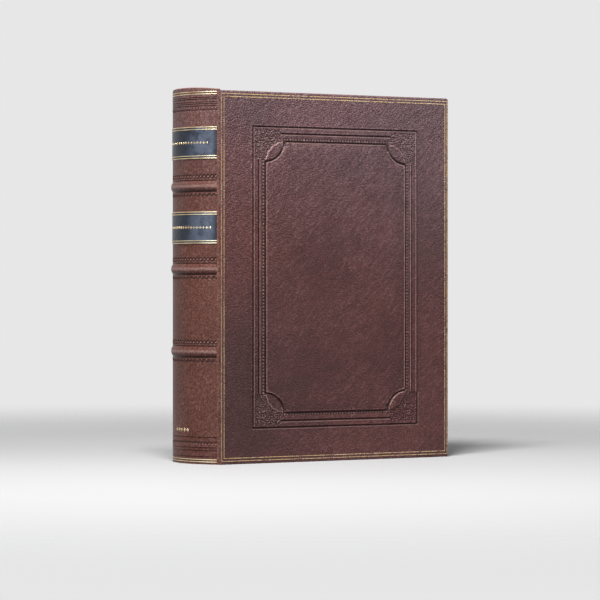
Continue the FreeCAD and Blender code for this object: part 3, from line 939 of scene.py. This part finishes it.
makeJoint("front_joint_leather", 1)
makeJoint("back_joint_leather", -1)
makeHinge("front_paper_hinge", 1)
makeHinge("back_paper_hinge", -1)
print("joints made")


label = {
    "thickness": 0.27,
    "edge": 0.35,                                # width over which it is pared down to nothing
    "wrinkle": 0.03,
    "sheen": ((0.05, 0.42), (0.60, 0.69)),       # angles between which the painted reflection comes and goes, in radians
}


def makeLabel(name, node):
    # a thin patch on the round of the spine. Its height is its thickness, less at the pared edges, and waves
    # that cross each other. An under side and walls close it
    low, high = boxOf(node)
    end, foot, top = trimAngle + 0.003, low[2] - 0.05, high[2] + 0.05
    across = np.concatenate([[-end], np.linspace(-trimAngle, trimAngle, 150), [end]])
    even = np.linspace(low[2] + 0.3, high[2] - 0.3, 54)
    up = np.concatenate([[foot, low[2] + 0.06], even, [high[2] - 0.06, top]])
    turn, z = np.meshgrid(across, up, indexing="ij")
    rim = np.minimum((end - np.abs(turn)) * spineRadius, np.minimum(z - foot, top - z))
    waves = np.sin(turn * 40 + np.sin(z * 2.1)) * np.sin(z * 1.3 + turn * 11)
    lift = label["thickness"] * smoothStep(0, label["edge"], rim) ** 0.6
    lift += label["wrinkle"] * (rim > 0.3) * waves
    face = spinePoints(turn, spineRadius + lift, z)
    under = spinePoints(turn, spineRadius - 0.05, z)
    wear = 0.9 * (1 - smoothStep(0.1, 0.9, rim))
    # painted reflection over the front half of the label
    comes, goes = label["sheen"]
    sheen = smoothStep(*comes, turn) * (1 - smoothStep(*goes, turn))
    rows, columns = turn.shape
    count = rows * columns
    faces = gridFaces(rows, columns)
    back = (np.array(faces) + count).tolist()
    number = np.arange(count).reshape(rows, columns)
    ring = np.concatenate([number[0], number[1:, -1], number[-1, -2::-1], number[-2:0:-1, 0]])
    after = np.roll(ring, -1)
    walls = np.stack([ring, after, after + count, ring + count], -1).tolist()
    bare = np.zeros_like(wear)
    marks = {"wear": np.stack([wear, bare]), "sheen": np.stack([sheen, bare])}
    piece = buildMesh(name, [(np.stack([face, under]), faces + back + walls, marks)], labelLeather)
    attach(piece, "book_block")
    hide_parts(node)


ornament = {
    "lozengeHeight": 1.9, "lozengeWidth": 1.1, "dot": 0.26, "pitch": 2.4,
    "upperReach": 31.0, "lowerReach": 34.0,                  # half of a row's arc, in degrees
    "tailReach": 9.0, "tailHeight": 20.7, "tailScale": 1.3,
    "lift": (0.0, 0.07, 0.09), "share": (1.0, 0.92, 0.1),    # height and share of the outline, ring by ring
}


def goldPatches(name, middleZ, reachDegrees, seat, scale=1.0):
    # a row of small gold lozenges with a dot between each two. Each outline has twelve corners: it is carried
    # up its edge and in to the middle, then bent onto the round of the spine
    reach = math.radians(reachDegrees) * spineRadius
    count = max(2, int(2 * reach / (ornament["pitch"] * scale)) + 1)
    places = np.linspace(-reach, reach, 2 * count - 1)
    turn = np.arange(12) * math.pi / 6
    star = np.stack([np.cos(turn), np.sin(turn)], -1)
    half = np.array([ornament["lozengeWidth"] / 2, ornament["lozengeHeight"] / 2])
    lozenge = star / np.abs(star).sum(1)[:, None] * half * scale
    dot = star * ornament["dot"] * scale
    outlines = np.where((np.arange(len(places)) % 2 == 0)[:, None, None], lozenge, dot)
    lift, share = np.array(ornament["lift"]), np.array(ornament["share"])
    flat = outlines[:, None] * share[:, None, None]
    angle = (places[:, None, None] + flat[..., 0]) / spineRadius
    points = spinePoints(angle, seat + lift[:, None], middleZ + flat[..., 1])
    own, starts = tubeFaces(3, 12), range(0, 36 * len(places), 36)
    faces = [[i + start for i in face] for start in starts for face in own]
    piece = buildMesh(name, [(points, faces, {})], spineGilt, sharp=40)
    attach(piece, "book_block")


for level in ("upper", "lower"):
    node = level + "_title_label"
    makeLabel(level + "_label_patch", node)
    onLabel = spineRadius + label["thickness"] - 0.01
    goldPatches(level + "_label_ornament", middleHeight(node), ornament[level + "Reach"], onLabel)
tailPlace = ornament["tailHeight"], ornament["tailReach"]
goldPatches("tail_ornament", *tailPlace, spineRadius - 0.01, ornament["tailScale"])
print("labels made")


pages = {
    "leaves": 220,         # columns of points, each for a few leaves
    "uneven": 0.10,        # how far a leaf stays behind at the fore-edge
    "odd": 0.2, "oddBehind": 0.12,       # share of leaves that stay behind more, and how much
    "short": 0.07,         # how much shorter a leaf can be at the head and the tail
    "foreSteps": 26,
}


def makePages():
    # one column of points for each few leaves: along the tail, up the fore-edge and back along the head.
    # The back is an arc that flares to the shoulders. The fore-edge is a parabola, as hollow as the back is
    # round
    rng = np.random.default_rng(11)
    half, leaves = book["pageHalf"], pages["leaves"]
    y = np.linspace(-half, half, leaves)
    hollow = backRadius - math.sqrt(backRadius ** 2 - half ** 2)
    shake = (rng.random(leaves) - 0.8) * pages["uneven"]
    shake += pages["oddBehind"] * (np.sin(np.arange(leaves) * 0.9) - 1) * (rng.random(leaves) < pages["odd"])
    foreX = pageHigh[0] - hollow * (1 - (y / half) ** 2) + np.minimum(shake, 0) * (np.abs(y) < half - 0.3)
    rise = (rng.random(leaves) - 1.0) * pages["short"]
    flare = backRadius * math.sin(halfAngle) / half
    backX = axisX - np.sqrt(backRadius ** 2 - (y * flare) ** 2)
    shoulderSteps = np.array([0, 0.1, 0.25, 0.45, 0.7, 1.0]) * book["shoulder"]
    along = np.concatenate([shoulderSteps, [4, 10, 25, 50, 80, 110, 140]])
    x = backX[:, None] + np.minimum(along, (foreX - backX)[:, None])
    shoulderX = axisX - backRadius * math.cos(halfAngle)
    across = y[:, None] * (1 + (flare - 1) * (1 - smoothStep(0, book["shoulder"], x - shoulderX)))
    low, high = (pageLow[2] - rise)[:, None], (pageHigh[2] + rise)[:, None]
    tail = np.stack([x, across, np.broadcast_to(low, x.shape)], -1)
    head = np.stack([x, across, np.broadcast_to(high, x.shape)], -1)[:, ::-1]
    foreZ = low + np.linspace(0, 1, pages["foreSteps"]) * (high - low)
    fore = np.stack([*np.broadcast_arrays(foreX[:, None], y[:, None], foreZ)], -1)
    loop = np.concatenate([tail, fore, head], 1)
    piece = buildMesh("leaf_block", [(loop, tubeFaces(*loop.shape[:2]), {})], pageEdges, sharp=35)
    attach(piece, "book_block")
    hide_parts("page_block")


endBand = {"thread": 0.62, "around": 14, "stripe": 5, "swell": 0.12}


def makeEndBand(name, node):
    # a roll of silk along the end of the back: a tube whose radius swells at each turn of the thread
    centre = backRadius - book["endBand"]
    threads = int(2 * trimAngle * centre / endBand["thread"])
    steps = np.linspace(0, threads, threads * 6 + 1)
    around = np.arange(endBand["around"]) * 2 * math.pi / endBand["around"]
    run, ring = np.meshgrid(steps, around, indexing="ij")
    turn = -trimAngle + 2 * trimAngle * run / threads
    swell = np.abs(np.sin(math.pi * (run + ring / (2 * math.pi))))
    close = np.minimum(1, np.minimum(run, threads - run) * 1.2 + 0.02)
    radius = (book["endBand"] - 0.02) * (1 - endBand["swell"] + endBand["swell"] * swell) * np.sqrt(close)
    points = spinePoints(turn, centre + radius * np.cos(ring), middleHeight(node) + radius * np.sin(ring))
    stripe = np.floor(run / endBand["stripe"]) % 2
    piece = buildMesh(name, [(points, tubeFaces(*run.shape), {"stripe": stripe})], silk)
    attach(piece, "book_block")
    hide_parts(node)


makePages()
makeEndBand("head_band_silk", "head_band")
makeEndBand("tail_band_silk", "tail_band")
print("pages made")


# finishes of the solids, by the ends of their names
finishes = {
    "_gilt_border": borderGilt,
    "_gilt_fillet": spineGilt,
    "_board": millboard,
    "_pastedown": endpaper,
    "_flyleaf": endpaper,
    "_sewing_cord": hempCord,
    "spine_lining": liningPaper,
    "page_block": pageEdges,
    "_cover_leather": coverLeather,
    "spine_leather": spineLeather,
    "_title_label": labelLeather,
    "head_band": silk,
    "tail_band": silk,
}
for name, solid in nodes.items():
    own = next(material for ending, material in finishes.items() if name.endswith(ending))
    if not solid.material_slots:
        solid.data.materials.append(own)
    for slot in solid.material_slots:
        slot.material = own


studio = {
    "floor": (172, 172, 174), "floorCloud": (160, 159, 158), "cloud": 0.25, "floorHalf": 30,     # metres
    "floorFades": (0.20, 0.95),             # metres from the book
    "surround": 0.17,                       # light from all round, where 1 is white
    "background": 0.80,                     # what the camera sees behind the book
    "key": (-0.33, -0.36, 0.92), "keyPower": 18.5, "keySize": 0.26, "keyTint": (1.0, 0.99, 0.97),
    "fill": (1.15, -1.7, 0.80), "fillPower": 6.5, "fillSize": 0.8, "fillTint": (1.0, 1.0, 1.0),
    "rim": (-1.85, -0.45, 0.45), "rimPower": 11.0, "rimSize": 0.5, "rimTint": (0.74, 0.86, 1.0),
    "aim": (0.0, 0.0, 0.11),
    "camera": (-1.06921, -1.66781, 0.11256), "yaw": 32.58, "pitch": -0.352, "lens": 188.0,
}


def makeFloor():
    # a plain sheet, which thins out with distance until only the white behind it is seen
    s = newShader("paleFloor")
    cloud = s.noise(studio["cloud"], 3, 0.5) * 0.12
    base = s.blend(cloud, colour(studio["floor"]), colour(studio["floorCloud"]))
    where = s.node("ShaderNodeTexCoord", output="Object")
    away = s.node("ShaderNodeVectorMath", {"operation": "LENGTH"}, {0: where}, output=1)
    fade = s.spread(away, *studio["floorFades"])
    material = s.finish({"Base Color": base, "Roughness": 0.8, "Alpha": 1 - fade})
    r = studio["floorHalf"]
    mesh = bpy.data.meshes.new("floor")
    mesh.from_pydata([(-r, -r, 0), (r, -r, 0), (r, r, 0), (-r, r, 0)], [], [[0, 1, 2, 3]])
    mesh.materials.append(material)
    floor = bpy.data.objects.new("floor", mesh)
    bpy.context.scene.collection.objects.link(floor)


def makeWorld():
    # the camera and mirror-like reflections see a white room, the rest is lit more softly
    world = bpy.data.worlds.new("room")
    bpy.context.scene.world = world
    s = Shader(world)
    kinds = "Is Camera Ray", "Is Glossy Ray", "Is Transmission Ray"
    camera, glossy, clear = [s.node("ShaderNodeLightPath", output=kind) for kind in kinds]
    seen = (camera + glossy + clear).limited()
    level = studio["surround"] + seen * (studio["background"] - studio["surround"])
    back = s.node("ShaderNodeBackground", None, {"Color": (1, 1, 1, 1), "Strength": level})
    s.node("ShaderNodeOutputWorld", None, {"Surface": back})


def makeLight(name):
    # a square lamp that looks at the middle of the book
    lamp = bpy.data.lights.new(name, "AREA")
    lamp.energy = studio[name + "Power"]
    lamp.size = studio[name + "Size"]
    lamp.color = studio[name + "Tint"]
    holder = bpy.data.objects.new(name, lamp)
    place = Vector(studio[name])
    holder.location = place
    holder.rotation_euler = (Vector(studio["aim"]) - place).to_track_quat("-Z", "Y").to_euler()
    bpy.context.scene.collection.objects.link(holder)


def makeCamera():
    # looks along y, turned by its yaw towards the book and tipped by its pitch
    lens = bpy.data.cameras.new("camera")
    lens.lens = studio["lens"]
    lens.sensor_width = 36.0
    lens.clip_start = 0.05
    lens.clip_end = 200.0
    camera = bpy.data.objects.new("camera", lens)
    camera.location = studio["camera"]
    camera.rotation_euler = (math.radians(90 + studio["pitch"]), 0, math.radians(-studio["yaw"]))
    bpy.context.scene.collection.objects.link(camera)
    bpy.context.scene.camera = camera


makeFloor()
makeWorld()
for lampName in ("key", "fill", "rim"):
    makeLight(lampName)
makeCamera()
bpy.context.scene.view_settings.view_transform = "Standard"
print("studio made")
